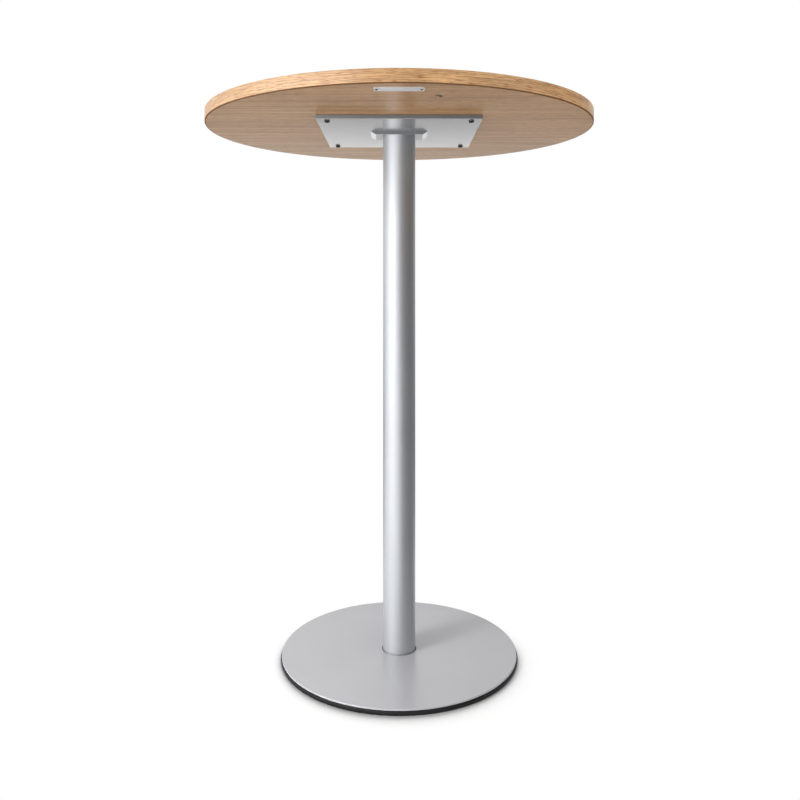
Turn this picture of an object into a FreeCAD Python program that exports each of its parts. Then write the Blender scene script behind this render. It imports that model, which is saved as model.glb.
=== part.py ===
import FreeCAD, Part

import math
import os

# Standing meeting table: a round veneered top on one steel column over a round weighted base.
# Millimetres. +Z is up, the origin is on the floor on the column's axis, and the label plate
# is on the -Y side.

# ---- Overall ------------------------------------------------------------------------------
TABLE_HEIGHT = 1130.0           # floor to the upper face of the top

# ---- Top: veneered board with a solid lipping ---------------------------------------------
TOP_DIAMETER = 800.0
TOP_THICKNESS = 25.0
VENEER_THICKNESS = 0.8          # face veneer and backing veneer alike
LIPPING_WIDTH = 2.0             # radial width of the solid oak band
LIPPING_ARRIS = 1.0             # chamfer on the band's two outer edges

# ---- Threaded inserts in the board --------------------------------------------------------
INSERT_DIAMETER = 12.0
INSERT_LENGTH = 14.0
INSERT_BORE_RELIEF = 1.5        # free depth in the board past the insert

# ---- Mounting plate under the top ---------------------------------------------------------
PLATE_SIDE = 320.0
PLATE_THICKNESS = 8.0
PLATE_CORNER_CUT = 1.5          # corners broken across
PLATE_EDGE_CHAMFER = 0.7
PLATE_SCREW_INSET = 20.0        # screw axis to the two nearest edges

# ---- Button-head screws that hold the plate to the board ----------------------------------
PLATE_SCREW_DIAMETER = 6.0
PLATE_SCREW_TIP_GAP = 2.0       # insert left free past the screw's tip
PLATE_SCREW_HEAD_DIAMETER = 11.0
PLATE_SCREW_HEAD_HEIGHT = 3.3
PLATE_SCREW_HEAD_FLAT = 6.0     # diameter of the flat face round the socket
PLATE_SCREW_HEX = 4.0           # socket across flats
PLATE_SCREW_HEX_DEPTH = 2.1

# ---- Column -------------------------------------------------------------------------------
COLUMN_DIAMETER = 68.0
COLUMN_WALL = 2.5
PLUG_THICKNESS = 22.0           # round plugs welded into both ends of the column

# ---- Flange bar welded on the head of the column ------------------------------------------
FLANGE_WIDTH = 118.0            # along X, at the mounting plate
FLANGE_THICKNESS = 6.0
FLANGE_END_BEVEL = 10.0         # how far each end leans in over the thickness
FLANGE_EDGE_CHAMFER = 0.5

# ---- Countersunk bolts, one from each end into the column's plugs -------------------------
BOLT_DIAMETER = 12.0
BOLT_TIP_GAP = 0.5              # foot plug left free past the bolt's tip
BOLT_HEAD_DIAMETER = 24.0       # 90 degree head, flush with the face that it is sunk in
BOLT_HEX = 8.0                  # socket across flats
BOLT_HEX_DEPTH = 4.0

# ---- Base ---------------------------------------------------------------------------------
BASE_DIAMETER = 495.0           # over the widest line of the edge ring
BALLAST_THICKNESS = 8.5
COVER_THICKNESS = 1.5
COVER_EDGE_CHAMFER = 1.2        # outer edge of the cover's bend
COVER_SKIRT = 1.5               # cover's rim below the ballast's upper face
RING_BULGE = 1.5                # how far the ring's face stands out at its widest line
RING_STEP = 0.5                 # ring's shoulder outside the cover's rim
RING_LIP_THICKNESS = 2.0        # floor lip that the ballast lies on
RING_LIP_WIDTH = 17.0           # reach of the floor lip from the ring's bore

# ---- Label plate under the front of the top -----------------------------------------------
LABEL_LENGTH = 85.0
LABEL_WIDTH = 25.0
LABEL_THICKNESS = 1.0
LABEL_CORNER_CUT = 2.0
LABEL_EDGE_DISTANCE = 26.0      # label plate to the rim of the top

# ---- Clearances ---------------------------------------------------------------------------
THREAD_CLEARANCE = 0.1          # screw to tapped bore, radial
HOLE_CLEARANCE = 0.5            # screw to drilled hole, radial
FOOT_GAP = 2.0                  # column to the hole in the base cover, radial
BASE_CLEARANCE = 0.2            # ballast to the cover's rim and to the edge ring, ring to rim

# ---- Levels, worked out from the sizes above ----------------------------------------------
top_underside = TABLE_HEIGHT - TOP_THICKNESS
core_underside = top_underside + VENEER_THICKNESS
core_top = TABLE_HEIGHT - VENEER_THICKNESS
label_underside = top_underside - LABEL_THICKNESS
plate_underside = top_underside - PLATE_THICKNESS
flange_underside = plate_underside - FLANGE_THICKNESS
ballast_underside = RING_LIP_THICKNESS
ballast_top = ballast_underside + BALLAST_THICKNESS
cover_top = ballast_top + COVER_THICKNESS
cover_rim_edge = ballast_top - COVER_SKIRT

# ---- Radii, lengths and spacings, worked out from the sizes above -------------------------
core_radius = TOP_DIAMETER / 2 - LIPPING_WIDTH
insert_bore_radius = PLATE_SCREW_DIAMETER / 2 + THREAD_CLEARANCE
plate_screw_offset = PLATE_SIDE / 2 - PLATE_SCREW_INSET
column_radius = COLUMN_DIAMETER / 2
column_bore_radius = column_radius - COLUMN_WALL
bolt_hole_radius = BOLT_DIAMETER / 2 + HOLE_CLEARANCE
bolt_length = BALLAST_THICKNESS + PLUG_THICKNESS - BOLT_TIP_GAP
ring_edge_radius = BASE_DIAMETER / 2 - RING_BULGE
cover_radius = ring_edge_radius - RING_STEP
cover_rim_bore_radius = cover_radius - COVER_THICKNESS
ballast_radius = cover_rim_bore_radius - BASE_CLEARANCE
ring_bore_radius = ballast_radius + BASE_CLEARANCE
label_centre_y = LABEL_EDGE_DISTANCE + LABEL_WIDTH / 2 - TOP_DIAMETER / 2

UP = FreeCAD.Vector(0, 0, 1)
ORIGIN = FreeCAD.Vector(0, 0, 0)


# ---- Places -------------------------------------------------------------------------------
def plate_screw_places():
    """The four corners of the mounting plate, where its screws go."""
    near_and_far = (-plate_screw_offset, plate_screw_offset)
    return [(x, y) for x in near_and_far for y in near_and_far]


# ---- Shared forms -------------------------------------------------------------------------
def disc(radius, lower, upper, place=(0, 0)):
    """Round plate, pin or bore between two levels."""
    x, y = place
    return Part.makeCylinder(radius, upper - lower, FreeCAD.Vector(x, y, lower))


def turned(*outline):
    """Solid turned about the Z axis from a closed outline of (radius, height) corners."""
    corners = [FreeCAD.Vector(radius, 0, height) for radius, height in outline + outline[:1]]
    solid = Part.Face(Part.makePolygon(corners)).revolve(ORIGIN, UP, 360)
    if solid.Volume < 0:
        solid.reverse()
    return solid


def hex_socket(across_flats, lower, upper):
    """Six-sided bore on the Z axis."""
    corners = []
    for step in range(7):
        turn = math.radians(60 * step)
        corner = FreeCAD.Vector(math.cos(turn), math.sin(turn), 0) * (across_flats / math.sqrt(3))
        corners.append(corner + UP * lower)
    return Part.Face(Part.makePolygon(corners)).extrude(UP * (upper - lower))


def edges_at_level(shape, level):
    """Edges that lie wholly in one horizontal plane."""
    found = []
    for edge in shape.Edges:
        box = edge.BoundBox
        if abs(box.ZMin - level) < 1e-6 and abs(box.ZMax - level) < 1e-6:
            found.append(edge)
    return found


def upright_edges(shape):
    """Edges that run along Z."""
    return [edge for edge in shape.Edges if edge.BoundBox.XLength + edge.BoundBox.YLength < 1e-6]


def flat_plate(length, width, lower, upper, corner_cut, centre_y=0.0):
    """Oblong plate with its corners cut across, centred on X."""
    corner = FreeCAD.Vector(-length / 2, centre_y - width / 2, lower)
    blank = Part.makeBox(length, width, upper - lower, corner)
    return blank.makeChamfer(corner_cut, upright_edges(blank))


def drilled(shape, radius, lower, upper, places):
    """The shape with round holes between two levels."""
    for place in places:
        shape = shape.cut(disc(radius, lower, upper, place))
    return shape


def copies(solid, places, level):
    """The same solid at several places, as one group."""
    return Part.makeCompound([solid.translated(FreeCAD.Vector(x, y, level)) for x, y in places])


# ---- Top ----------------------------------------------------------------------------------
def top_veneer():
    return disc(core_radius, core_top, TABLE_HEIGHT)


def board_core():
    board = disc(core_radius, core_underside, core_top)
    bore_end = top_underside + INSERT_LENGTH + INSERT_BORE_RELIEF
    return drilled(board, INSERT_DIAMETER / 2, core_underside, bore_end, plate_screw_places())


def underside_veneer():
    sheet = disc(core_radius, top_underside, core_underside)
    return drilled(sheet, INSERT_DIAMETER / 2, top_underside, core_underside, plate_screw_places())


def edge_lipping():
    """Solid band round the board, as deep as the top, with its two outer edges broken."""
    outer = TOP_DIAMETER / 2
    return turned(
        (core_radius, top_underside),
        (outer - LIPPING_ARRIS, top_underside),
        (outer, top_underside + LIPPING_ARRIS),
        (outer, TABLE_HEIGHT - LIPPING_ARRIS),
        (outer - LIPPING_ARRIS, TABLE_HEIGHT),
        (core_radius, TABLE_HEIGHT),
    )


def threaded_inserts():
    """Steel sleeves flush with the underside, which the plate's screws go into."""
    sleeve = disc(INSERT_DIAMETER / 2, 0, INSERT_LENGTH).cut(disc(insert_bore_radius, 0, INSERT_LENGTH))
    return copies(sleeve, plate_screw_places(), top_underside)


# ---- Mounting plate and its screws --------------------------------------------------------
def sunk_hole(thickness):
    """Countersunk hole through a plate on the Z axis, sunk from its lower face upwards."""
    head_radius = BOLT_HEAD_DIAMETER / 2
    return turned(
        (0, 0),
        (head_radius, 0),
        (bolt_hole_radius, head_radius - bolt_hole_radius),
        (bolt_hole_radius, thickness),
        (0, thickness),
    )


def mounting_plate():
    """Square plate with a screw hole in each corner and a sunk hole over the column."""
    plate = flat_plate(PLATE_SIDE, PLATE_SIDE, plate_underside, top_underside, PLATE_CORNER_CUT)
    plate = plate.makeChamfer(PLATE_EDGE_CHAMFER, edges_at_level(plate, plate_underside))
    screw_hole_radius = PLATE_SCREW_DIAMETER / 2 + HOLE_CLEARANCE
    plate = drilled(plate, screw_hole_radius, plate_underside, top_underside, plate_screw_places())
    sunk_from_above = sunk_hole(PLATE_THICKNESS).mirror(ORIGIN, UP)
    return plate.cut(sunk_from_above.translated(UP * top_underside))


def plate_screws():
    """Button-head screws, head down, through the plate's corners into the inserts."""
    shank = PLATE_SCREW_DIAMETER / 2
    tip = PLATE_THICKNESS + INSERT_LENGTH - PLATE_SCREW_TIP_GAP
    crown = -PLATE_SCREW_HEAD_HEIGHT
    screw = turned(
        (0, tip),
        (shank, tip),
        (shank, 0),
        (PLATE_SCREW_HEAD_DIAMETER / 2, 0),
        (PLATE_SCREW_HEAD_FLAT / 2, crown),
        (0, crown),
    )
    socket = hex_socket(PLATE_SCREW_HEX, crown, crown + PLATE_SCREW_HEX_DEPTH)
    return copies(screw.cut(socket), plate_screw_places(), plate_underside)


# ---- Column and what closes and clamps its two ends ---------------------------------------
def head_flange():
    """Bar across the head of the column, with ends that lean in towards its lower face."""
    wide = FLANGE_WIDTH / 2
    narrow = wide - FLANGE_END_BEVEL
    outline = [(-wide, plate_underside), (wide, plate_underside),
               (narrow, flange_underside), (-narrow, flange_underside)]
    corners = [FreeCAD.Vector(x, -column_radius, z) for x, z in outline + outline[:1]]
    bar = Part.Face(Part.makePolygon(corners)).extrude(FreeCAD.Vector(0, COLUMN_DIAMETER, 0))
    bar = bar.makeChamfer(FLANGE_EDGE_CHAMFER, edges_at_level(bar, flange_underside))
    return bar.cut(disc(bolt_hole_radius, flange_underside, plate_underside))


def column_tube():
    tube = disc(column_radius, ballast_top, flange_underside)
    return tube.cut(disc(column_bore_radius, ballast_top, flange_underside))


def column_plugs():
    """Round plugs, tapped through, one flush with each end of the tube."""
    plug = disc(column_bore_radius, 0, PLUG_THICKNESS)
    plug = plug.cut(disc(BOLT_DIAMETER / 2 + THREAD_CLEARANCE, 0, PLUG_THICKNESS))
    levels = (ballast_top, flange_underside - PLUG_THICKNESS)
    return Part.makeCompound([plug.translated(UP * level) for level in levels])


def column_bolts():
    """Alike countersunk bolts: one up through the ballast plate, one down through the head."""
    head = BOLT_HEAD_DIAMETER / 2
    shank = BOLT_DIAMETER / 2
    bolt = turned((0, 0), (head, 0), (shank, head - shank), (shank, bolt_length), (0, bolt_length))
    bolt = bolt.cut(hex_socket(BOLT_HEX, 0, BOLT_HEX_DEPTH))
    foot_bolt = bolt.translated(UP * ballast_underside)
    head_bolt = bolt.mirror(ORIGIN, UP).translated(UP * top_underside)
    return Part.makeCompound([foot_bolt, head_bolt])


# ---- Base ---------------------------------------------------------------------------------
def ballast_plate():
    """Heavy round plate that the column stands on, with a sunk hole in its underside."""
    plate = disc(ballast_radius, ballast_underside, ballast_top)
    return plate.cut(sunk_hole(BALLAST_THICKNESS).translated(UP * ballast_underside))


def base_cover():
    """Spun cap over the ballast: a thin disc with a hole for the column and a turned-down rim."""
    hole = column_radius + FOOT_GAP
    return turned(
        (hole, ballast_top),
        (cover_rim_bore_radius, ballast_top),
        (cover_rim_bore_radius, cover_rim_edge),
        (cover_radius, cover_rim_edge),
        (cover_radius, cover_top - COVER_EDGE_CHAMFER),
        (cover_radius - COVER_EDGE_CHAMFER, cover_top),
        (hole, cover_top),
    )


def edge_ring():
    """Ring round the ballast, with a swelling face below the cover's rim and a floor lip."""
    shoulder = cover_rim_edge - BASE_CLEARANCE
    lip_radius = ring_bore_radius - RING_LIP_WIDTH
    return turned(
        (lip_radius, 0),
        (ring_edge_radius, 0),
        (BASE_DIAMETER / 2, shoulder / 2),
        (ring_edge_radius, shoulder),
        (ring_bore_radius, shoulder),
        (ring_bore_radius, ballast_underside),
        (lip_radius, ballast_underside),
    )


# ---- Label plate --------------------------------------------------------------------------
def label_plate():
    return flat_plate(LABEL_LENGTH, LABEL_WIDTH, label_underside, top_underside,
                      LABEL_CORNER_CUT, label_centre_y)


# ---- Output -------------------------------------------------------------------------------
SUBPARTS = (
    top_veneer,
    board_core,
    underside_veneer,
    edge_lipping,
    threaded_inserts,
    mounting_plate,
    plate_screws,
    head_flange,
    column_tube,
    column_plugs,
    column_bolts,
    ballast_plate,
    base_cover,
    edge_ring,
    label_plate,
)

os.makedirs("parts", exist_ok=True)
for subpart in SUBPARTS:
    subpart().exportStep("parts/" + subpart.__name__ + ".step")
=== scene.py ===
"""Standing meeting table: finishes, finer forms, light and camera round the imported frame."""

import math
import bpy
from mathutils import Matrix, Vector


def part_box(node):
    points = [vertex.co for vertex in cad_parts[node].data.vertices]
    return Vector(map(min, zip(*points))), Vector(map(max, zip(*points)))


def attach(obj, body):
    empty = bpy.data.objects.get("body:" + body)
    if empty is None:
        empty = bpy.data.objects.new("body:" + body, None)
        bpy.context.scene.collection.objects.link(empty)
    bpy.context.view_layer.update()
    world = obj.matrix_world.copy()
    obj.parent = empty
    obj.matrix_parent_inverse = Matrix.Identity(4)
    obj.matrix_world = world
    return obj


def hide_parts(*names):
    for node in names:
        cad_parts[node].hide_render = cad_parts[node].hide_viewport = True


bl_info = {
    "name": "Standing Meeting Table",
    "version": (1, 0, 0),
    "blender": (4, 5, 0),
    "location": "View3D > Sidebar > Table",
    "description": "Round veneered standing table on a steel column with a weighted round base",
    "category": "Object",
}

import bmesh
import bpy
from bpy.props import FloatProperty, FloatVectorProperty, IntProperty, PointerProperty
from mathutils import Matrix, Vector

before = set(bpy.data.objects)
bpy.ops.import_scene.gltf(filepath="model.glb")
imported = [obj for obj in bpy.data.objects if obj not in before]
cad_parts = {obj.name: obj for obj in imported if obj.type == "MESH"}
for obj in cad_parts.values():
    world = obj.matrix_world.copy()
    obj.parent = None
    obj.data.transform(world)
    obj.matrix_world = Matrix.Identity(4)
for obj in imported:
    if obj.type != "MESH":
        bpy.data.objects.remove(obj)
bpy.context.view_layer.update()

MM = 0.001

# ---- Sizes taken from the frame -----------------------------------------------------------
board_low, board_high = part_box("edge_lipping")
plate_low, plate_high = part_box("mounting_plate")
flange_low, flange_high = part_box("head_flange")
column_low, column_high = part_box("column_tube")
cover_low, cover_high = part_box("base_cover")
label_low, label_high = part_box("label_plate")
ring_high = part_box("edge_ring")[1]
core_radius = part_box("board_core")[1].x
plug_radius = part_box("column_plugs")[1].x
screw_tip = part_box("plate_screws")[1].z
ballast_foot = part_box("ballast_plate")[0].z

# ---- Sizes that the finer forms share with the frame's solids -----------------------------
PLATE_SCREW_INSET = 20 * MM
PLATE_SCREW_HEAD_RADIUS = 5.5 * MM
PLATE_SCREW_HEAD_HEIGHT = 3.3 * MM
PLATE_SCREW_FLAT_RADIUS = 3 * MM
PLATE_SCREW_SHANK_RADIUS = 3 * MM
PLATE_SCREW_HOLE_CLEARANCE = 0.5 * MM
PLATE_SCREW_HEX = 4 * MM
PLATE_SCREW_HEX_DEPTH = 2.1 * MM
BOLT_HOLE_RADIUS = 6.5 * MM
COLUMN_FOOT_GAP = 2 * MM
FLANGE_END_BEVEL = 10 * MM
COVER_THICKNESS = 1.5 * MM
RING_BULGE = 1.5 * MM
RING_LIP_WIDTH = 17 * MM

# ---- Sizes of details that only this script has -------------------------------------------
# Height of the strip of painted shade along the foot of the lipping.
FOOT_SHADE_HEIGHT = 2.1 * MM
KNOT_CENTRE = (68 * MM, -309 * MM)
KNOT_RADIUS = 4.3 * MM
PLATE_SCREW_TIP_RADIUS = 0.8 * PLATE_SCREW_SHANK_RADIUS
PLATE_SCREW_TIP_LENGTH = 1 * MM
COVER_BEND_RADIUS = 0.4 * MM
COVER_LIP_ROUNDING = 0.3 * MM
LABEL_SCREW_INSET = 4.7 * MM
LABEL_SCREW_RADIUS = 2.5 * MM
LABEL_SCREW_HEIGHT = 1.4 * MM
LABEL_SCREW_SHANK_RADIUS = 1.25 * MM
LABEL_SCREW_HOLE_CLEARANCE = 0.2 * MM
LABEL_SLOT_LENGTH = 4 * LABEL_SCREW_RADIUS
LABEL_SLOT_WIDTH = 0.8 * MM
LABEL_SLOT_DEPTH = 0.7 * MM
LABEL_SLOT_TURNS = (35, -20)

# ---- Fineness and tolerances of the meshes ------------------------------------------------
ARC_STEPS = 5
OBLONG_ARC_STEPS = 6
COVER_ARC_STEPS = 7
BEVEL_STEPS = 4
SWELL_STEPS = 12
PLATE_SCREW_DOME_STEPS = 10
LABEL_SCREW_DOME_STEPS = 8
TUBE_SEGMENTS = 160
PLATE_SCREW_SEGMENTS = 48
LABEL_SCREW_SEGMENTS = 40
HOLE_SIDES = 48
SHARP_ANGLE = math.radians(35)
SAME_LEVEL = 1e-7
SAME_PLACE = 1e-6
UPRIGHT_LIMIT = 0.3     # largest upward part of an upright face's normal
OVERCUT = 1 * MM        # how far a cutting tool reaches past the face


# ---- Settings -----------------------------------------------------------------------------
def length(name, description, millimetres):
    """A size that the user may change, in metres."""
    return FloatProperty(name=name, description=description, default=millimetres * MM,
                         min=0.0, precision=5, unit="LENGTH")


def colour(name, description, value):
    """A colour that the user may change."""
    return FloatVectorProperty(name=name, description=description, default=value,
                               size=3, min=0.0, max=1.0, subtype="COLOR")


class TopSettings(bpy.types.PropertyGroup):
    """Board, veneers and lipping."""
    arris: length("Arris", "Rounding of the lipping's two outer edges", 1.5)
    face_colour: colour("Face", "Lacquered oak on the upper face", (0.56, 0.36, 0.19))
    back_colour: colour("Back", "Lacquered oak underneath", (0.408, 0.230, 0.099))
    lipping_colour: colour("Lipping", "Solid oak band", (0.585, 0.334, 0.147))
    board_colour: colour("Board", "Pressed particle board", (0.39, 0.25, 0.12))


class SteelSettings(bpy.types.PropertyGroup):
    """Column, flange, plate and screws."""
    plate_corner: length("Plate corner", "Corner radius of the mounting plate", 2.0)
    plate_softening: length("Plate edge", "Rounding of the mounting plate's edges", 0.7)
    flange_softening: length("Flange edge", "Rounding of the flange's lower edges and its corners", 0.4)
    tube_softening: length("Tube end", "Rounding of the column's two ends", 0.4)
    column_colour: colour("Column", "Silver powder coating", (0.66, 0.68, 0.71))
    plate_colour: colour("Plate", "Smooth silver coating", (0.565, 0.565, 0.565))
    screw_colour: colour("Screws", "Black oxide", (0.012, 0.012, 0.012))


class BaseSettings(bpy.types.PropertyGroup):
    """Base cover, edge ring and ballast."""
    cover_roll: length("Cover roll", "Outer radius of the cover's turned-down rim", 1.9)
    cover_hole_softening: length("Hole edge", "Rounding of the hole that the column stands in", 0.4)
    ring_chamfer: length("Ring edge", "Chamfer on the ring's two outer corners", 0.5)
    cover_colour: colour("Cover", "Silver coating", (0.43, 0.43, 0.448))
    ring_colour: colour("Ring", "Black moulded plastic", (0.009, 0.009, 0.0095))
    ballast_colour: colour("Ballast", "Black primer", (0.01, 0.01, 0.01))


class LabelSettings(bpy.types.PropertyGroup):
    """Bare label plate under the front of the top."""
    corner: length("Corner", "Corner radius of the label plate", 3.0)
    softening: length("Edge", "Rounding of the label plate's lower edge", 0.2)
    metal_colour: colour("Aluminium", "Brushed aluminium", (0.78, 0.78, 0.79))


class StudioSettings(bpy.types.PropertyGroup):
    """Lamps, floor, camera and the fineness of the turned pieces."""
    key_power: FloatProperty(name="Key", description="Power of the large lamp on the left",
                             default=23.5, min=0.0, unit="POWER")
    fill_power: FloatProperty(name="Fill", description="Power of the large lamp on the right",
                              default=20.0, min=0.0, unit="POWER")
    base_power: FloatProperty(name="Base", description="Power of the small lamp aimed at the base",
                              default=2.6, min=0.0, unit="POWER")
    top_power: FloatProperty(name="Top", description="Power of the lamp over the table",
                             default=20.0, min=0.0, unit="POWER")
    room_light: FloatProperty(name="Room", description="Soft light from all round", default=0.72, min=0.0)
    floor_colour: colour("Floor", "Pale floor", (0.93, 0.93, 0.93))
    lens: FloatProperty(name="Lens", description="Focal length", default=35.97, min=1.0, unit="CAMERA")
    segments: IntProperty(name="Segments", description="Steps round the large turned pieces",
                          default=256, min=24)


# ---- Mesh forms ---------------------------------------------------------------------------
def softened(*corners, steps=ARC_STEPS):
    """Closed outline through corners (x, y, radius), each rounded off by its radius."""
    outline = []
    for number, (x, y, radius) in enumerate(corners):
        corner = Vector((x, y))
        if not radius:
            outline.append(corner)
            continue
        back = (Vector(corners[number - 1][:2]) - corner).normalized()
        ahead = (Vector(corners[(number + 1) % len(corners)][:2]) - corner).normalized()
        half_angle = back.angle(ahead) / 2
        centre = corner + (back + ahead).normalized() * radius / math.sin(half_angle)
        first = corner + back * radius / math.tan(half_angle) - centre
        last = corner + ahead * radius / math.tan(half_angle) - centre
        start = math.atan2(first.y, first.x)
        sweep = math.remainder(math.atan2(last.y, last.x) - start, math.tau)
        for step in range(steps + 1):
            turn = start + sweep * step / steps
            outline.append(centre + Vector((math.cos(turn), math.sin(turn))) * radius)
    return outline


def new_piece(name, mesh):
    """Object from a bmesh, smoothly shaded."""
    bmesh.ops.recalc_face_normals(mesh, faces=mesh.faces)
    data = bpy.data.meshes.new(name)
    mesh.to_mesh(data)
    mesh.free()
    smooth_shaded(data)
    piece = bpy.data.objects.new(name, data)
    bpy.context.scene.collection.objects.link(piece)
    return piece


def smooth_shaded(data):
    """Smooth shading, but sharp edges where faces meet at more than the sharp angle."""
    data.shade_smooth()
    data.set_sharp_from_angle(angle=SHARP_ANGLE)


def turned(name, outline, segments, closed=True, place=(0.0, 0.0)):
    """Piece turned about an upright axis from an outline of (radius, height) points."""
    mesh = bmesh.new()
    points = [mesh.verts.new((radius, 0, height)) for radius, height in outline]
    pairs = zip(points, points[1:] + points[:1]) if closed else zip(points, points[1:])
    lines = [mesh.edges.new(pair) for pair in pairs]
    bmesh.ops.spin(mesh, geom=points + lines, cent=(0, 0, 0), axis=(0, 0, 1), angle=math.tau,
                   steps=segments, use_merge=True)
    bmesh.ops.remove_doubles(mesh, verts=mesh.verts, dist=SAME_PLACE)
    bmesh.ops.translate(mesh, verts=mesh.verts, vec=(*place, 0))
    return new_piece(name, mesh)


def slab(name, outline, lower, upper, softening=0.0, softened_level=None):
    """Flat plate with the outline, its edges rounded over at both faces or at one level."""
    mesh = bmesh.new()
    face = mesh.faces.new([mesh.verts.new((x, y, lower)) for x, y in outline])
    grown = bmesh.ops.extrude_face_region(mesh, geom=[face])["geom"]
    raised = [item for item in grown if isinstance(item, bmesh.types.BMVert)]
    bmesh.ops.translate(mesh, verts=raised, vec=(0, 0, upper - lower))
    if softening:
        levels = (lower, upper) if softened_level is None else (softened_level,)
        rims = [edge for edge in mesh.edges
                if any(all(abs(end.co.z - level) < SAME_LEVEL for end in edge.verts) for level in levels)]
        round_over(mesh, rims, softening)
    return new_piece(name, mesh)


def round_over(mesh, edges, radius):
    """Rounds the edges off by the radius."""
    bmesh.ops.bevel(mesh, geom=edges, offset=radius, segments=BEVEL_STEPS, profile=0.5, affect="EDGES")


def oblong(size_x, size_y, radius, centre_y=0.0):
    """Outline of an oblong with rounded corners."""
    x, y = size_x / 2, size_y / 2
    return softened((-x, centre_y - y, radius), (x, centre_y - y, radius),
                    (x, centre_y + y, radius), (-x, centre_y + y, radius), steps=OBLONG_ARC_STEPS)


def domed_head(radius, flat_radius, seat, height, steps):
    """Outline of a screw's domed head, from the rim on its seat down to its flat crown."""
    dome = []
    for step in range(steps + 1):
        turn = math.radians(90 * step / steps)
        reach = flat_radius + (radius - flat_radius) * math.cos(turn)
        dome.append((reach, seat - height * math.sin(turn)))
    return dome


def round_bar(name, radius, lower, upper, sides=HOLE_SIDES, place=(0.0, 0.0)):
    """Round or many-sided bar that holes and sockets are cut with."""
    outline = [Vector((math.cos(math.tau * side / sides), math.sin(math.tau * side / sides))) * radius
               + Vector(place) for side in range(sides)]
    return slab(name, outline, lower, upper)


def hole_through(radius, low, high, place=(0.0, 0.0)):
    """Bar that cuts a round hole right through a flat piece between its two box corners."""
    return round_bar("hole", radius, low.z - OVERCUT, high.z + OVERCUT, place=place)


def cut(piece, *tools):
    """Takes each tool's solid out of the piece and throws the tool away."""
    for tool in tools:
        carving = piece.modifiers.new("cut", "BOOLEAN")
        carving.object = tool
        carving.solver = "EXACT"
    graph = bpy.context.evaluated_depsgraph_get()
    carved = bpy.data.meshes.new_from_object(piece.evaluated_get(graph))
    piece.modifiers.clear()
    piece.data = carved
    smooth_shaded(carved)
    for tool in tools:
        bpy.data.objects.remove(tool)
    return evenly_shaded(piece)


def evenly_shaded(piece):
    """Keeps the shading of large flat faces flat right up to their rounded edges."""
    weights = piece.modifiers.new("weights", "WEIGHTED_NORMAL")
    weights.keep_sharp = True
    graph = bpy.context.evaluated_depsgraph_get()
    shaded = bpy.data.meshes.new_from_object(piece.evaluated_get(graph))
    piece.modifiers.clear()
    piece.data = shaded
    return piece


def joined(name, pieces):
    """Several pieces as one object."""
    mesh = bmesh.new()
    for piece in pieces:
        piece.data.transform(piece.matrix_world)
        mesh.from_mesh(piece.data)
        bpy.data.objects.remove(piece)
    return new_piece(name, mesh)


def set_in_frame(piece, finish, slot_name, *nodes):
    """Gives a finished piece its material and its body, and hides the frame nodes it stands for; the record
    slot is not used.
    """
    piece.data.materials.clear()
    piece.data.materials.append(finish)
    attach(piece, "root")
    if nodes:
        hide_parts(*nodes)


def dress_node(node, finish):
    """Gives a frame node its material."""
    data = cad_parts[node].data
    data.materials.clear()
    data.materials.append(finish)


# ---- Finishes -----------------------------------------------------------------------------
USUAL_SPREAD = (0.3, 0.7)
KNOT_COLOUR = (0.05, 0.012, 0.002)
# Brown of the painted shade along the foot of the lipping, and how dark it is.
FOOT_SHADE_COLOUR = (0.36, 0.12, 0.03)
FOOT_SHADE_FACTOR = 0.36
INSERT_ZINC = (0.40, 0.38, 0.31)
BOLT_ZINC = (0.45, 0.45, 0.42)
BARE_STEEL = (0.22, 0.22, 0.22)
# Darker steel for upright faces: painted shade.
UPRIGHT_SHADE_STEEL = (0.20, 0.21, 0.22)
DARK_SCREW = (0.045, 0.045, 0.047)
PORE_SHADE = (0.64, 0.44, 0.26)     # share of the oak's red, green and blue left in an open pore


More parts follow.
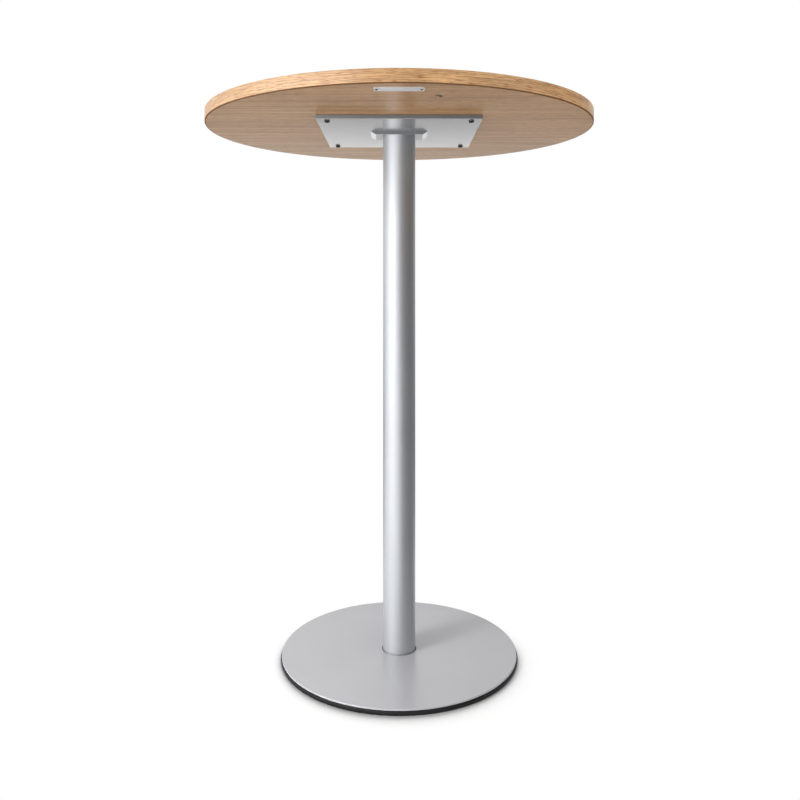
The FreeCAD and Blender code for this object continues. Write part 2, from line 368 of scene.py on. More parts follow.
class Finish:
    """Material under construction: a Principled shader and short ways to vary it."""

    def __init__(self, name, **constants):
        self.material = bpy.data.materials.new(name)
        self.material.use_nodes = True
        self.nodes = self.material.node_tree.nodes
        self.links = self.material.node_tree.links
        self.shader = self.nodes["Principled BSDF"]
        for socket, value in constants.items():
            self.shader.inputs[socket.replace("_", " ")].default_value = value

    def node(self, kind, inputs=(), **settings):
        """New node with its settings, and its inputs by name or number linked or filled."""
        made = self.nodes.new("ShaderNode" + kind)
        for setting, value in settings.items():
            setattr(made, setting, value)
        for socket, value in dict(inputs).items():
            if isinstance(value, bpy.types.NodeSocket):
                self.links.new(value, made.inputs[socket])
            else:
                made.inputs[socket].default_value = value
        return made

    def place(self):
        """Place on the piece in metres, in the frame's axes."""
        return self.node("TexCoord").outputs["Object"]

    def stretched(self, place, x, y, z):
        """The place with its three axes scaled, for detail of that many repeats a metre."""
        return self.node("VectorMath", {0: place, 1: (x, y, z)}, operation="MULTIPLY").outputs[0]

    def off_axis(self):
        """Distance from the table's upright axis."""
        flat = self.stretched(self.place(), 1, 1, 0)
        return self.node("VectorMath", {0: flat}, operation="LENGTH").outputs["Value"]

    def noise(self, place, scale=1.0, detail=2.0, roughness=0.5):
        """Cloudy value round a half."""
        inputs = {"Vector": place, "Scale": scale, "Detail": detail, "Roughness": roughness}
        return self.node("TexNoise", inputs).outputs["Fac"]

    def sum(self, *parts):
        """Weighted sum of (value, weight) pairs."""
        total = None
        for value, weight in parts:
            term = self.math("MULTIPLY", value, weight)
            total = term if total is None else self.math("ADD", total, term)
        return total

    def math(self, operation, first, second=0.0):
        """One arithmetic step."""
        return self.node("Math", {0: first, 1: second}, operation=operation).outputs[0]

    def between(self, value, low, high, new_low=0.0, new_high=1.0):
        """The value's range from low to high, spread smoothly over the new range."""
        inputs = {"Value": value, "From Min": low, "From Max": high, "To Min": new_low, "To Max": new_high}
        return self.node("MapRange", inputs, interpolation_type="SMOOTHSTEP").outputs["Result"]

    def ramp(self, value, *stops):
        """Colour by value, from (position, colour) stops."""
        made = self.node("ValToRGB", {"Fac": value})
        elements = made.color_ramp.elements
        while len(elements) < len(stops):
            elements.new(0.5)
        for element, (position, tone) in zip(elements, stops):
            element.position = position
            element.color = (*tone, 1.0)
        return made.outputs["Color"]

    def mixed(self, amount, first, second):
        """The first colour going over into the second."""
        made = self.node("Mix", {"Factor": amount}, data_type="RGBA")
        for socket, tone in zip((made.inputs[6], made.inputs[7]), (first, second)):
            if isinstance(tone, bpy.types.NodeSocket):
                self.links.new(tone, socket)
            else:
                socket.default_value = (*tone, 1.0)
        return made.outputs[2]

    def paint(self, socket, value):
        """Links a varying value or colour to the shader."""
        self.links.new(value, self.shader.inputs[socket])

    def tint(self, value, tone, darkest, lightest, spread=USUAL_SPREAD):
        """Paints the tone, from darker to lighter by these factors over the value's spread."""
        low, high = spread
        stops = (low, shade(tone, darkest)), (high, shade(tone, lightest))
        self.paint("Base Color", self.ramp(value, *stops))

    def roughen(self, value, at_low, at_high):
        """Lets the roughness follow the value, from one to the other over the usual spread."""
        self.paint("Roughness", self.between(value, *USUAL_SPREAD, at_low, at_high))

    def bump(self, height, depth):
        """Relief of that depth in metres."""
        made = self.node("Bump", {"Height": height, "Distance": depth, "Strength": 1.0})
        self.links.new(made.outputs["Normal"], self.shader.inputs["Normal"])

    def shade_with(self, shader):
        """Puts another shader in the Principled one's place."""
        self.nodes.remove(self.shader)
        self.links.new(shader.outputs[0], self.nodes["Material Output"].inputs["Surface"])


def shade(tone, factor):
    """The colour made lighter or darker by a factor."""
    return tuple(min(part * factor, 1.0) for part in tone)


def along_band(finish):
    """Place on the lipping as (way round the edge, height, reach), for grain that runs round."""
    parts = finish.node("SeparateXYZ", {0: finish.place()})
    x, y, z = parts.outputs
    turn = finish.math("ARCTAN2", x, finish.math("MULTIPLY", y, -1.0))
    way = finish.math("MULTIPLY", turn, board_high.x)
    return finish.node("CombineXYZ", {0: way, 1: z, 2: finish.off_axis()}).outputs[0]


def oak(finish, place, tone, contrast=1.0, run=2.0, fineness=70, layers=5, sway=0.012, pores=(60, 950)):
    """Colour and figure of oak with its grain along the place's first axis, and its relief.

    The growth bands repeat run times a metre along the grain and fineness times across it, and the
    pores likewise; the bands sway by that many metres.
    """
    drift = finish.noise(finish.stretched(place, 2.5, 12, 12), detail=2)
    shift = finish.node("CombineXYZ", {1: finish.math("MULTIPLY", drift, sway)}).outputs[0]
    grain = finish.node("VectorMath", {0: place, 1: shift}, operation="ADD").outputs[0]
    bands = finish.noise(finish.stretched(grain, run, fineness, fineness), detail=layers, roughness=0.75)
    clouds = finish.noise(finish.stretched(place, 3, 5, 5), detail=2)
    fibres = finish.noise(finish.stretched(grain, 28, 1300, 1300), detail=2, roughness=0.7)
    pores_along, pores_across = pores
    pits = finish.noise(finish.stretched(grain, pores_along, pores_across, pores_across), detail=1)
    figure = finish.sum((bands, 0.70), (clouds, 0.12), (fibres, 0.18))
    body = finish.ramp(figure,
                       (0.34, shade(tone, 1 - 0.30 * contrast)),
                       (0.46, shade(tone, 1 - 0.08 * contrast)),
                       (0.54, shade(tone, 1 + 0.08 * contrast)),
                       (0.66, shade(tone, 1 + 0.24 * contrast)))
    # The pores show more in the darker bands.
    open_pores = finish.math("MULTIPLY", finish.between(pits, 0.55, 0.66),
                             finish.between(bands, 0.62, 0.42, 0.55, 1.0))
    finish.bump(finish.sum((open_pores, -1.0), (fibres, 0.15)), depth=0.02 * MM)
    brown = tuple(part * share for part, share in zip(tone, PORE_SHADE))
    return finish.mixed(finish.math("MULTIPLY", open_pores, contrast), body, brown), figure


def face_veneer(settings):
    """Satin lacquered oak for the upper face."""
    finish = Finish("satin_oak_face", Specular_IOR_Level=0.4)
    tone, figure = oak(finish, finish.place(), settings.face_colour)
    finish.paint("Base Color", tone)
    finish.roughen(figure, 0.40, 0.30)
    return finish.material


def pin_knot(finish):
    """1 on the small knot's dark arc and on the dot at its end, 0 elsewhere."""
    centre = (*KNOT_CENTRE, board_low.z)
    offset = finish.node("VectorMath", {0: finish.place(), 1: centre}, operation="SUBTRACT").outputs[0]
    scaled = finish.stretched(offset, 1 / KNOT_RADIUS, 0.6 / KNOT_RADIUS, 0)
    reach = finish.node("VectorMath", {0: scaled}, operation="LENGTH").outputs["Value"]
    off_line = finish.math("ABSOLUTE", finish.math("SUBTRACT", reach, 1.0))
    forward = finish.node("SeparateXYZ", {0: scaled}).outputs["Y"]
    arc = finish.math("MULTIPLY", finish.between(off_line, 0.4, 0.75, 1, 0),
                      finish.between(forward, -0.3, 0.1, 1, 0))
    from_dot = finish.node("VectorMath", {0: scaled, 1: (1.0, 0.2, 0)}, operation="DISTANCE")
    dot = finish.between(from_dot.outputs["Value"], 0.6, 0.9, 1, 0)
    return finish.math("MAXIMUM", arc, dot)


def back_veneer(settings):
    """Satin lacquered oak with one pin knot, for underneath."""
    finish = Finish("satin_oak_back", Specular_IOR_Level=0.5)
    tone, figure = oak(finish, finish.place(), settings.back_colour, contrast=1.75, fineness=120)
    finish.paint("Base Color", finish.mixed(pin_knot(finish), tone, KNOT_COLOUR))
    finish.roughen(figure, 0.36, 0.28)
    return finish.material


def oak_lipping(settings):
    """Satin lacquered solid oak, its grain running round the edge."""
    finish = Finish("satin_oak_lipping", Specular_IOR_Level=0.8)
    tone, figure = oak(finish, along_band(finish), settings.lipping_colour, contrast=1.9, run=9.0,
                       fineness=620, layers=2, sway=0.004, pores=(45, 780))
    finish.paint("Base Color", tone)
    finish.roughen(figure, 0.42, 0.32)
    return finish.material


def painted_shade_foot(settings):
    """Dull oak darkened with painted shade along the narrow foot of the lipping."""
    finish = Finish("painted_shade_oak_foot", Specular_IOR_Level=0.1, Roughness=0.6)
    shaded_oak = shade(settings.lipping_colour, FOOT_SHADE_FACTOR)
    tone = oak(finish, along_band(finish), shaded_oak, run=8.0, fineness=170)[0]
    finish.paint("Base Color", finish.mixed(0.5, tone, shade(FOOT_SHADE_COLOUR, FOOT_SHADE_FACTOR)))
    return finish.material


def particle_board(settings):
    """Pressed chips, rough and mottled."""
    finish = Finish("particle_board", Roughness=0.85)
    chips = finish.noise(finish.place(), scale=420, detail=3, roughness=0.7)
    finish.tint(chips, settings.board_colour, 0.6, 1.3, spread=(0.35, 0.65))
    finish.bump(chips, depth=0.2 * MM)
    return finish.material


def coated_steel(name, tone, roughness, peel_depth, metallic, peel_scale=700, **constants):
    """Silver coating: slow drift in tone and gloss, and a fine orange-peel surface."""
    finish = Finish(name, Metallic=metallic, **constants)
    cloud = finish.noise(finish.place(), scale=6, detail=3)
    grit = finish.noise(finish.place(), scale=peel_scale, detail=2)
    finish.tint(cloud, tone, 0.97, 1.03)
    finish.roughen(finish.sum((cloud, 0.5), (grit, 0.5)), roughness * 0.92, roughness * 1.08)
    finish.bump(grit, peel_depth)
    return finish.material


def shade_upright_faces(piece):
    """Gives a steel piece's upright faces a darker, duller copy of its coating, as painted shade."""
    piece.data.materials.append(coated_steel("painted_shade_edge", UPRIGHT_SHADE_STEEL, roughness=0.5,
                                             peel_depth=0.03 * MM, metallic=0.4))
    for face in piece.data.polygons:
        if abs(face.normal.z) < UPRIGHT_LIMIT:
            face.material_index = 1


def turned_steel(name, tone, roughness):
    """Lathe-turned steel with fine rings."""
    finish = Finish(name, Metallic=1.0)
    reach = finish.node("CombineXYZ", {0: finish.off_axis()}).outputs[0]
    rings = finish.noise(reach, scale=2500, detail=1)
    finish.tint(rings, tone, 0.9, 1.08)
    finish.roughen(rings, roughness * 0.8, roughness * 1.2)
    finish.bump(rings, depth=0.01 * MM)
    return finish.material


def black_coat(name, tone, roughness, grain_depth, specular=0.5):
    """Black oxide, primer or moulded plastic with a fine grain."""
    finish = Finish(name, Specular_IOR_Level=specular)
    grain = finish.noise(finish.place(), scale=900, detail=3)
    dust = finish.noise(finish.place(), scale=35, detail=4, roughness=0.65)
    finish.tint(dust, tone, 0.85, 1.5, spread=(0.35, 0.75))
    finish.roughen(dust, roughness * 0.9, roughness * 1.1)
    finish.bump(grain, grain_depth)
    return finish.material


def brushed_aluminium(settings):
    """Bare aluminium brushed along its length."""
    finish = Finish("brushed_aluminium", Metallic=0.6)
    lines = finish.noise(finish.stretched(finish.place(), 25, 3500, 3500), detail=2, roughness=0.6)
    finish.tint(lines, settings.metal_colour, 0.92, 1.05)
    finish.roughen(lines, 0.38, 0.50)
    finish.bump(lines, depth=0.01 * MM)
    return finish.material


# ---- Operators, one for each piece or group of like pieces --------------------------------
class TABLE_OT_board(bpy.types.Operator):
    """Finish the core board and its two veneers"""
    bl_idname = "table.board"
    bl_label = "Board and veneers"

    def execute(self, context):
        settings = context.scene.table_top
        dress_node("top_veneer", face_veneer(settings))
        dress_node("underside_veneer", back_veneer(settings))
        dress_node("board_core", particle_board(settings))
        return {"FINISHED"}


class TABLE_OT_lipping(bpy.types.Operator):
    """Build the solid oak band with its rounded arrises"""
    bl_idname = "table.lipping"
    bl_label = "Lipping"

    def execute(self, context):
        settings = context.scene.table_top
        shade_top = board_low.z + FOOT_SHADE_HEIGHT
        outline = softened((core_radius, board_low.z, 0), (board_high.x, board_low.z, settings.arris),
                           (board_high.x, shade_top, 0), (board_high.x, board_high.z, settings.arris),
                           (core_radius, board_high.z, 0))
        band = turned("oak_band", outline, context.scene.table_studio.segments)
        set_in_frame(band, oak_lipping(settings), "oak_lipping", "edge_lipping")
        # The strip along the foot of the band gets oak with painted shade.
        band.data.materials.append(painted_shade_foot(settings))
        for face in band.data.polygons:
            if face.center.z < shade_top:
                face.material_index = 1
        return {"FINISHED"}


class TABLE_OT_mounting_plate(bpy.types.Operator):
    """Build the square mounting plate with rounded corners and softened edges"""
    bl_idname = "table.mounting_plate"
    bl_label = "Mounting plate"

    def execute(self, context):
        settings = context.scene.table_steel
        side = plate_high.x - plate_low.x
        plate = slab("square_plate", oblong(side, side, settings.plate_corner), plate_low.z, plate_high.z,
                     settings.plate_softening)
        screw_hole = PLATE_SCREW_SHANK_RADIUS + PLATE_SCREW_HOLE_CLEARANCE
        holes = [hole_through(screw_hole, plate_low, plate_high, place) for place in plate_screw_places()]
        cut(plate, *holes, hole_through(BOLT_HOLE_RADIUS, plate_low, plate_high))
        finish = coated_steel("gloss_silver", settings.plate_colour, roughness=0.18, peel_depth=0.005 * MM,
                              metallic=0.7, peel_scale=220)
        set_in_frame(plate, finish, "silver_plate", "mounting_plate")
        # The plate's upright faces get painted shade.
        shade_upright_faces(plate)
        return {"FINISHED"}


def plate_screw_places():
    """The four corners of the mounting plate, where its screws go."""
    offset = plate_high.x - PLATE_SCREW_INSET
    return [(x, y) for x in (-offset, offset) for y in (-offset, offset)]


class TABLE_OT_plate_screws(bpy.types.Operator):
    """Build the four button-head screws and finish their inserts"""
    bl_idname = "table.plate_screws"
    bl_label = "Plate screws"

    def execute(self, context):
        settings = context.scene.table_steel
        seat = plate_low.z
        crown = seat - PLATE_SCREW_HEAD_HEIGHT
        outline = [(0, screw_tip), (PLATE_SCREW_TIP_RADIUS, screw_tip),
                   (PLATE_SCREW_SHANK_RADIUS, screw_tip - PLATE_SCREW_TIP_LENGTH),
                   (PLATE_SCREW_SHANK_RADIUS, seat)]
        outline += domed_head(PLATE_SCREW_HEAD_RADIUS, PLATE_SCREW_FLAT_RADIUS, seat,
                              PLATE_SCREW_HEAD_HEIGHT, PLATE_SCREW_DOME_STEPS)
        outline.append((0, crown))
        screws = []
        for place in plate_screw_places():
            screw = turned("screw", outline, PLATE_SCREW_SEGMENTS, closed=False, place=place)
            socket = round_bar("socket", PLATE_SCREW_HEX / math.sqrt(3), crown - OVERCUT,
                               crown + PLATE_SCREW_HEX_DEPTH, sides=6, place=place)
            screws.append(cut(screw, socket))
        finish = black_coat("black_oxide", settings.screw_colour, roughness=0.45, grain_depth=0.004 * MM,
                            specular=0.3)
        set_in_frame(joined("button_head_screws", screws), finish, "black_screw", "plate_screws")
        dress_node("threaded_inserts", turned_steel("zinc_insert", INSERT_ZINC, roughness=0.35))
        return {"FINISHED"}


class TABLE_OT_head_flange(bpy.types.Operator):
    """Build the bar with bevelled ends on the head of the column"""
    bl_idname = "table.head_flange"
    bl_label = "Head flange"

    def execute(self, context):
        settings = context.scene.table_steel
        outline = oblong(flange_high.x - flange_low.x, flange_high.y - flange_low.y, 0)
        mesh = bmesh.new()
        upper = [mesh.verts.new((x, y, flange_high.z)) for x, y in outline]
        lower = [mesh.verts.new((x - math.copysign(FLANGE_END_BEVEL, x), y, flange_low.z))
                 for x, y in outline]
        mesh.faces.new(upper)
        mesh.faces.new(lower[::-1])
        for number in range(len(upper)):
            mesh.faces.new((upper[number - 1], upper[number], lower[number], lower[number - 1]))
        below_seat = flange_high.z - SAME_LEVEL
        rims = [edge for edge in mesh.edges if any(end.co.z < below_seat for end in edge.verts)]
        round_over(mesh, rims, settings.flange_softening)
        bar = new_piece("bevelled_flange", mesh)
        cut(bar, hole_through(BOLT_HOLE_RADIUS, flange_low, flange_high))
        finish = coated_steel("satin_silver_flange", settings.plate_colour, roughness=0.24,
                              peel_depth=0.005 * MM, metallic=0.7)
        set_in_frame(bar, finish, "silver_column", "head_flange")
        # The flange's upright faces get painted shade.
        shade_upright_faces(bar)
        return {"FINISHED"}


class TABLE_OT_column(bpy.types.Operator):
    """Build the column tube and finish its plugs and bolts"""
    bl_idname = "table.column"
    bl_label = "Column"

    def execute(self, context):
        settings = context.scene.table_steel
        outer, bore = column_high.x, plug_radius
        outline = softened((bore, column_low.z, 0), (outer, column_low.z, settings.tube_softening),
                           (outer, column_high.z, settings.tube_softening), (bore, column_high.z, 0))
        tube = turned("silver_tube", outline, TUBE_SEGMENTS)
        finish = coated_steel("satin_silver", settings.column_colour, roughness=0.56, peel_depth=0.02 * MM,
                              metallic=0.92, Anisotropic=0.6, Anisotropic_Rotation=0.25)
        set_in_frame(tube, finish, "silver_column", "column_tube")
        dress_node("column_plugs", turned_steel("turned_plug", BARE_STEEL, roughness=0.4))
        dress_node("column_bolts", turned_steel("zinc_bolt", BOLT_ZINC, roughness=0.32))
        return {"FINISHED"}


class TABLE_OT_base_cover(bpy.types.Operator):
    """Build the spun cover with its rolled rim, and finish the ballast under it"""
    bl_idname = "table.base_cover"
    bl_label = "Base cover"

    def execute(self, context):
        settings = context.scene.table_base
        hole = column_high.x + COLUMN_FOOT_GAP
        outer, inner = cover_high.x, cover_high.x - COVER_THICKNESS
        below = cover_high.z - COVER_THICKNESS
        outline = softened((hole, below, 0), (inner, below, COVER_BEND_RADIUS),
                           (inner, cover_low.z, COVER_LIP_ROUNDING),
                           (outer, cover_low.z, COVER_LIP_ROUNDING),
                           (outer, cover_high.z, settings.cover_roll),
                           (hole, cover_high.z, settings.cover_hole_softening), steps=COVER_ARC_STEPS)
        cap = turned("spun_cover", outline, context.scene.table_studio.segments)
        finish = coated_steel("satin_silver_cover", settings.cover_colour, roughness=0.30,
                              peel_depth=0.02 * MM, metallic=0.35)
        set_in_frame(cap, finish, "silver_cover", "base_cover")
        dress_node("ballast_plate", black_coat("black_primer", settings.ballast_colour, roughness=0.6,
                                               grain_depth=0.02 * MM))
        return {"FINISHED"}


class TABLE_OT_edge_ring(bpy.types.Operator):
    """Build the black ring with its swelling face and floor lip"""
    bl_idname = "table.edge_ring"
    bl_label = "Edge ring"

    def execute(self, context):
        settings = context.scene.table_base
        chamfer = settings.ring_chamfer
        bore = cover_high.x - COVER_THICKNESS
        shoulder = ring_high.x - RING_BULGE
        swell = []
        for step in range(SWELL_STEPS + 1):
            height = chamfer + (ring_high.z - 2 * chamfer) * step / SWELL_STEPS
            off_middle = 2 * height / ring_high.z - 1
            swell.append(Vector((ring_high.x - RING_BULGE * off_middle * off_middle, height)))
        lip = bore - RING_LIP_WIDTH
        outline = [Vector((lip, 0)), Vector((shoulder - chamfer, 0))]
        outline += swell
        outline += [Vector((shoulder - chamfer, ring_high.z)), Vector((bore, ring_high.z)),
                    Vector((bore, ballast_foot)), Vector((lip, ballast_foot))]
        ring = turned("moulded_ring", outline, context.scene.table_studio.segments)
        finish = black_coat("black_plastic", settings.ring_colour, roughness=0.5, grain_depth=0.015 * MM,
                            specular=0.25)
        set_in_frame(ring, finish, "black_ring", "edge_ring")
        return {"FINISHED"}


class TABLE_OT_label_plate(bpy.types.Operator):
    """Build the bare label plate and its two slotted screws"""
    bl_idname = "table.label_plate"
    bl_label = "Label plate"

    def execute(self, context):
        settings = context.scene.table_label
        centre_y = (label_low.y + label_high.y) / 2
        outline = oblong(label_high.x - label_low.x, label_high.y - label_low.y, settings.corner, centre_y)
        plate = slab("bare_label", outline, label_low.z, label_high.z, settings.softening, label_low.z)
        places = [(side * (label_high.x - LABEL_SCREW_INSET), centre_y) for side in (-1, 1)]
        screw_hole = LABEL_SCREW_SHANK_RADIUS + LABEL_SCREW_HOLE_CLEARANCE
        cut(plate, *[hole_through(screw_hole, label_low, label_high, place) for place in places])
        set_in_frame(plate, brushed_aluminium(settings), "label_metal", "label_plate")

        crown = label_low.z - LABEL_SCREW_HEIGHT
        outline = [(0, label_high.z), (LABEL_SCREW_SHANK_RADIUS, label_high.z),
                   (LABEL_SCREW_SHANK_RADIUS, label_low.z)]
        outline += domed_head(LABEL_SCREW_RADIUS, 0, label_low.z,
                              LABEL_SCREW_HEIGHT, LABEL_SCREW_DOME_STEPS)
        screws = []
        for place, turn in zip(places, LABEL_SLOT_TURNS):
            screw = turned("screw", outline, LABEL_SCREW_SEGMENTS, closed=False, place=place)
            slot = slab("slot", oblong(LABEL_SLOT_LENGTH, LABEL_SLOT_WIDTH, 0), crown - OVERCUT,
                        crown + LABEL_SLOT_DEPTH)
            rotation = Matrix.Rotation(math.radians(turn), 4, "Z")
            slot.data.transform(Matrix.Translation((*place, 0)) @ rotation)
            screws.append(cut(screw, slot))
        finish = black_coat("dark_screw", DARK_SCREW, roughness=0.35, grain_depth=0.004 * MM)
        set_in_frame(joined("label_screws", screws), finish, "black_screw")
        return {"FINISHED"}


class TABLE_OT_stage(bpy.types.Operator):
    """Set up the floor, the lamps, the room's light and the camera"""
    bl_idname = "table.stage"
    bl_label = "Stage"

    def execute(self, context):
        settings = context.scene.table_studio
        pale_floor(settings)
        reflection_cards()
        soft_lamp("key_lamp", settings.key_power, place=(-2.3, -1.7, 1.3), aim_height=0.7, size=(1.0, 1.8))
        soft_lamp("fill_lamp", settings.fill_power, place=(2.6, -1.6, 1.6), aim_height=0.8, size=(2.5, 2.5))
        soft_lamp("base_lamp", settings.base_power, place=(-1.2, -0.9, 0.9), aim_height=0, size=(0.5, 0.5),
                  spread=60)
        soft_lamp("top_lamp", settings.top_power, place=(-0.6, -0.3, 3.4), aim_height=0, size=(3.2, 3.2))
        room_light(context.scene, settings)
        table_camera(context.scene, settings)
        return {"FINISHED"}


# ---- Stage --------------------------------------------------------------------------------
CAMERA_DISTANCE = 1.69
CAMERA_HEIGHT = 0.78
HORIZON_SHIFT = -0.1445
SIDE_SHIFT = 0.001
FLOOR_RADIUS = 9.0
FLOOR_SEGMENTS = 96
FLOOR_NEAR_WHITE = 0.7              # how much of the floor is plain white close to the table
FLOOR_FADE = (0.25, 0.36)           # distances from the axis between which the floor turns white
FLOOR_BACK_FADE = (-0.1, 0.15)      # places from front to back between which it does so as well
CONTACT_SHADE_REACH = 0.065
CONTACT_SHADE_SAMPLES = 16
CONTACT_SHADE_LEAN = (0.82, 0.57)   # backward and upward parts of the way it looks for the base
CARD_STEPS = 24
WALL_REACH = 2.9
WALL_TOP = 3.2
BACK_CARD_LEAN = 0.12
LEAN_SPAN = 1.5


def seen_directly(nodes, links):
    """1 for camera, glossy and transmission rays, 0 for the rays that light other surfaces."""
    path = nodes.new("ShaderNodeLightPath")
    seen = path.outputs["Is Camera Ray"]
    for ray in ("Is Glossy Ray", "Is Transmission Ray"):
        either = nodes.new("ShaderNodeMath")
        either.operation = "MAXIMUM"
        links.new(seen, either.inputs[0])
        links.new(path.outputs[ray], either.inputs[1])
        seen = either.outputs[0]
    return seen


def pale_floor(settings):
    """Round floor that fades to white away from the table, keeps the shadow near it, and has painted
    contact shade round the base.
    """
    mesh = bmesh.new()
    bmesh.ops.create_circle(mesh, cap_ends=True, segments=FLOOR_SEGMENTS, radius=FLOOR_RADIUS)
    floor = new_piece("floor", mesh)
    finish = Finish("pale_floor")
    paper = finish.node("BsdfDiffuse", {"Color": (*settings.floor_colour, 1)})
    # Painted contact shade: the white glows less where ambient occlusion finds the base, most in front of
    # it.
    backward, upward = CONTACT_SHADE_LEAN
    leaning = finish.node("CombineXYZ", {1: backward, 2: upward}).outputs[0]
    openness = finish.node("AmbientOcclusion", {"Distance": CONTACT_SHADE_REACH, "Normal": leaning},
                           samples=CONTACT_SHADE_SAMPLES).outputs["AO"]
    painted_shade_glow = finish.between(openness, 0.45, 0.98, 0.05, 1.0)
    white = finish.node("Emission", {"Color": (1, 1, 1, 1), "Strength": painted_shade_glow})
    outward = finish.between(finish.off_axis(), *FLOOR_FADE, FLOOR_NEAR_WHITE, 1.0)
    depth = finish.node("SeparateXYZ", {0: finish.place()}).outputs["Y"]
    behind = finish.between(depth, *FLOOR_BACK_FADE, FLOOR_NEAR_WHITE, 1.0)
    fade = finish.math("MAXIMUM", outward, behind)
    share_white = finish.math("MULTIPLY", fade, seen_directly(finish.nodes, finish.links))
    finish.shade_with(finish.node("MixShader", {0: share_white, 1: paper.outputs[0], 2: white.outputs[0]}))
    floor.data.materials.append(finish.material)


def upright(reach, foot, head):
    """Profile of a card that stands at one distance, between two heights."""
    return (reach, foot), (reach, head)


def lying_and_upright(start, reach, head):
    """Profile of a card that lies on the floor from the start outward and then turns up."""
    return (start, MM), (reach, MM), (reach, head)


def reflection_cards():
    """The cards that metal and lacquer show: bright on the left, dark in front and right, pale behind."""
    reflection_card("bright_left", turns=(-80, -4), profile=lying_and_upright(0.3, WALL_REACH, 2.6),
                    levels=(1.2, 4.2), heights=(1.0, 1.5))
    reflection_card("bright_strip", turns=(-72, -12), profile=upright(0.62, 1.03, 1.11),
                    levels=(7.0, 7.0), heights=(1.0, 1.1))
    reflection_card("bright_far_left", turns=(-120, -80), profile=upright(WALL_REACH, 1.4, 2.6),
                    levels=(1.0, 1.8), heights=(1.4, 2.0))
    reflection_card("dim_front", turns=(-22, 14), profile=upright(2.6, 1.1, WALL_TOP),
                    levels=(0.15, 0.15), heights=(0.0, 1.0))
    reflection_card("dark_right", turns=(14, 122), profile=lying_and_upright(0.28, 2.4, WALL_TOP),
                    levels=(0.15, 0.06), heights=(0.8, 1.5))
    reflection_card("grey_back", turns=(122, 240), profile=lying_and_upright(0.8, WALL_REACH, 1.05),
                    levels=(0.05, 0.92), heights=(0.3, 0.9), lean=BACK_CARD_LEAN)
    reflection_card("upper_back", turns=(122, 240), profile=upright(WALL_REACH, 1.05, WALL_TOP),
                    levels=(0.65, 0.85), heights=(1.1, 1.6), lean=BACK_CARD_LEAN)
    reflection_card("pale_back", turns=(158, 202), profile=upright(2.7, 0.5, 0.95),
                    levels=(0.7, 1.7), heights=(0.6, 0.85), lean=BACK_CARD_LEAN)


def reflection_card(name, turns, profile, levels, heights, lean=0.0):
    """Card that only reflections show: its profile swept round the table between two turns in degrees.

    Its brightness goes from the first level to the second between the two heights, and a lean makes
    its left side brighter.
    """
    mesh = bmesh.new()
    first, last = turns
    rows = []
    for reach, rise in profile:
        row = []
        for step in range(CARD_STEPS + 1):
            turn = math.radians(first + (last - first) * step / CARD_STEPS)
            row.append(mesh.verts.new((reach * math.sin(turn), -reach * math.cos(turn), rise)))
        rows.append(row)
    for lower, upper in zip(rows, rows[1:]):
        for step in range(CARD_STEPS):
            mesh.faces.new((lower[step], lower[step + 1], upper[step + 1], upper[step]))
    card = new_piece(name, mesh)
    finish = Finish(name)
    parts = finish.node("SeparateXYZ", {0: finish.place()}).outputs
    sideways = finish.between(parts["X"], -LEAN_SPAN, LEAN_SPAN, 1 + lean, 1 - lean)
    level = finish.math("MULTIPLY", finish.between(parts["Z"], *heights, *levels), sideways)
    finish.shade_with(finish.node("Emission", {"Color": (1, 1, 1, 1), "Strength": level}))
    card.data.materials.append(finish.material)
    card.visible_camera = False
    card.visible_diffuse = False
    card.visible_shadow = False
    card.visible_transmission = False


def soft_lamp(name, power, place, aim_height, size, spread=180):
    """Oblong lamp aimed at a height on the table's axis; its light spreads over an angle in degrees."""
    light = bpy.data.lights.new(name, "AREA")
    light.shape = "RECTANGLE"
    light.size, light.size_y = size
    light.spread = math.radians(spread)
    light.energy = power
    lamp = bpy.data.objects.new(name, light)
    lamp.location = place
    aim = Vector((0, 0, aim_height)) - Vector(place)
    lamp.rotation_euler = aim.to_track_quat("-Z", "Y").to_euler()
    lamp.visible_glossy = False
    bpy.context.scene.collection.objects.link(lamp)


def room_light(scene, settings):
    """White room where it is seen, and an even soft light on everything."""
    world = bpy.data.worlds.new("white_room")
    world.use_nodes = True
    scene.world = world
    nodes, links = world.node_tree.nodes, world.node_tree.links
    background = nodes["Background"]
    background.inputs["Color"].default_value = (1, 1, 1, 1)
    level = nodes.new("ShaderNodeMapRange")
    level.inputs["To Min"].default_value = settings.room_light
    level.inputs["To Max"].default_value = 1.0
    links.new(seen_directly(nodes, links), level.inputs["Value"])
    links.new(level.outputs["Result"], background.inputs["Strength"])


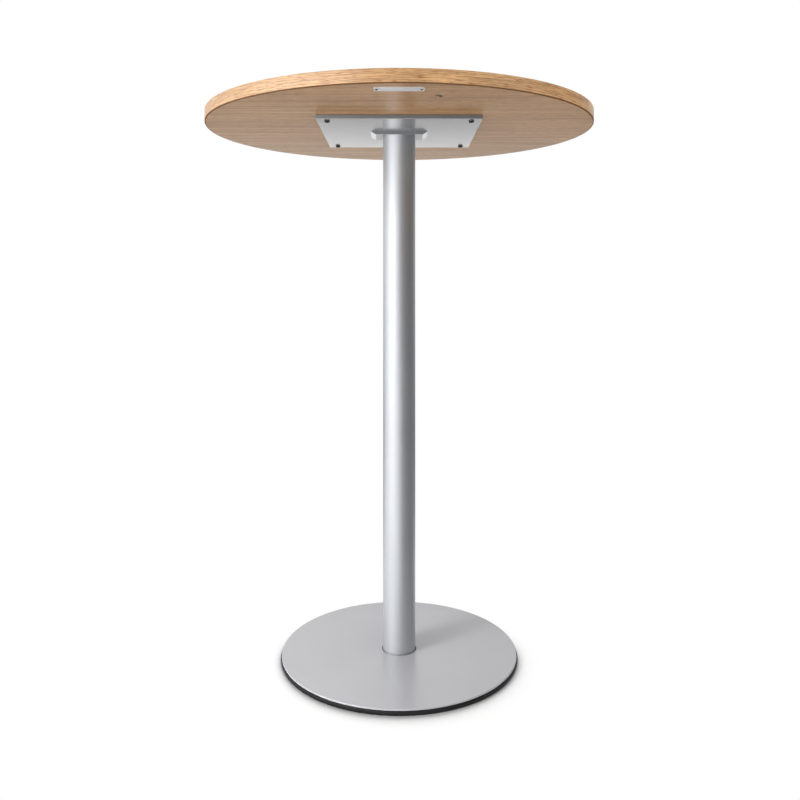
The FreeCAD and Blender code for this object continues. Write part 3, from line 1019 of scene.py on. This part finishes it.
def table_camera(scene, settings):
    """Level camera in front of the table."""
    data = bpy.data.cameras.new("table_camera")
    data.lens = settings.lens
    data.shift_x = SIDE_SHIFT
    data.shift_y = HORIZON_SHIFT
    camera = bpy.data.objects.new("table_camera", data)
    camera.location = (0, -CAMERA_DISTANCE, CAMERA_HEIGHT)
    camera.rotation_euler = (math.radians(90), 0, 0)
    scene.collection.objects.link(camera)
    scene.camera = camera
    scene.view_settings.view_transform = "Standard"


# ---- Sidebar panel and registration -------------------------------------------------------
OPERATORS = (
    TABLE_OT_board,
    TABLE_OT_lipping,
    TABLE_OT_mounting_plate,
    TABLE_OT_plate_screws,
    TABLE_OT_head_flange,
    TABLE_OT_column,
    TABLE_OT_base_cover,
    TABLE_OT_edge_ring,
    TABLE_OT_label_plate,
    TABLE_OT_stage,
)
SETTINGS = {
    "table_top": TopSettings,
    "table_steel": SteelSettings,
    "table_base": BaseSettings,
    "table_label": LabelSettings,
    "table_studio": StudioSettings,
}


class VIEW3D_PT_standing_table(bpy.types.Panel):
    """Settings and steps of the table"""
    bl_label = "Standing Table"
    bl_space_type = "VIEW_3D"
    bl_region_type = "UI"
    bl_category = "Table"

    def draw(self, context):
        for name, group in SETTINGS.items():
            box = self.layout.box()
            box.label(text=name.replace("_", " ").capitalize())
            for setting in group.__annotations__:
                box.prop(getattr(context.scene, name), setting)
        for operator in OPERATORS:
            self.layout.operator(operator.bl_idname)


def register():
    for item in (*SETTINGS.values(), *OPERATORS, VIEW3D_PT_standing_table):
        bpy.utils.register_class(item)
    for name, group in SETTINGS.items():
        setattr(bpy.types.Scene, name, PointerProperty(type=group))


def unregister():
    for name in SETTINGS:
        delattr(bpy.types.Scene, name)
    for item in (VIEW3D_PT_standing_table, *reversed(OPERATORS), *reversed(SETTINGS.values())):
        bpy.utils.unregister_class(item)


def main():
    """Registers the add-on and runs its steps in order."""
    register()
    for operator in OPERATORS:
        category, step = operator.bl_idname.split(".")
        getattr(getattr(bpy.ops, category), step)()


if __name__ == "__main__":
    main()
